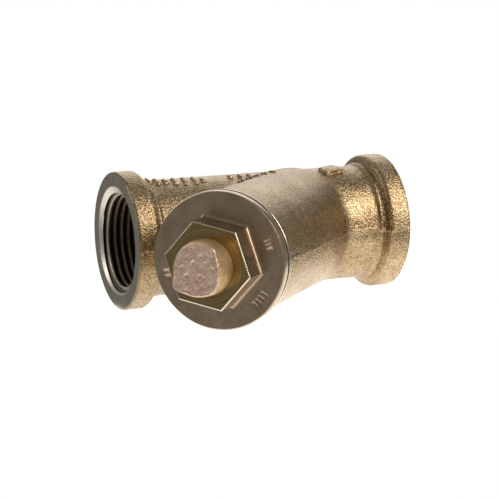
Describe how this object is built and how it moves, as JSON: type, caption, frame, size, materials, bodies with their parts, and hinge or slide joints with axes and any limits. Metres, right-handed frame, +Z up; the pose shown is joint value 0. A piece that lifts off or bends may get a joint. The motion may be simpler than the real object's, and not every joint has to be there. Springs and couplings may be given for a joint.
{
  "type": "y strainer",
  "caption": "Cast bronze Y strainer with female pipe threads, a screw-in hex cap with a square-head blow-off plug, and a removable perforated screen.",
  "frame": {"origin": "on the inlet port's axis, at the first full thread crest, 3.3 mm inside the inlet face", "axes": "+X out of the inlet port along the run, the outlet at -X; the branch leans toward the outlet in the XY plane, along -X-Y; +Z up, with the strainer lying on its side as in the picture"},
  "size_m": [0.0773, 0.0713, 0.0352],
  "materials": {
    "cast_bronze": "sand cast, tumbled",
    "turned_brass": "lathe turned, dulled",
    "red_bronze": "as cast",
    "gasket_fibre": "matte",
    "seal_tape": "matte",
    "stainless_screen": "rolled",
    "stainless_mesh": "woven",
    "ring_brass": "turned"
  },
  "bodies": {
    "housing": {"strainer_body": "cast_bronze"},
    "gasket": {"cap_gasket": "gasket_fibre"},
    "cap": {"retainer_cap": "turned_brass"},
    "plug_wrap": {"plug_seal": "seal_tape"},
    "plug": {"blow_off_plug": "red_bronze"},
    "screen": {"screen_shell": "stainless_screen", "screen_liner": "stainless_mesh", "screen_seat_ring": "ring_brass", "screen_cap_ring": "ring_brass"}
  },
  "joints": [
    {"name": "cap_travel", "type": "slide", "parent": "housing", "child": "gasket", "axis": [-0.7071, -0.7071, 0], "range_m": [0, 0.00901]},
    {"name": "cap_turn", "type": "hinge", "parent": "gasket", "child": "cap", "pos_m": [-0.0212, 0, 0], "axis": [-0.7071, -0.7071, 0], "range_deg": [0, 2160]},
    {"name": "screen_travel", "type": "slide", "parent": "housing", "child": "screen", "axis": [-0.7071, -0.7071, 0], "range_m": [0, 0.00901]},
    {"name": "plug_travel", "type": "slide", "parent": "cap", "child": "plug_wrap", "axis": [-0.7071, -0.7071, 0], "range_m": [0, 0.00777]},
    {"name": "plug_turn", "type": "hinge", "parent": "plug_wrap", "child": "plug", "pos_m": [-0.0212, 0, 0], "axis": [-0.7071, -0.7071, 0], "range_deg": [0, 1980]}
  ],
  "couplings": [
    {"joint": "cap_travel", "follows": "cap_turn", "m_per_rad": 0.00023873},
    {"joint": "screen_travel", "follows": "cap_turn", "m_per_rad": 0.00023873},
    {"joint": "plug_travel", "follows": "plug_turn", "m_per_rad": 0.00022459}
  ]
}
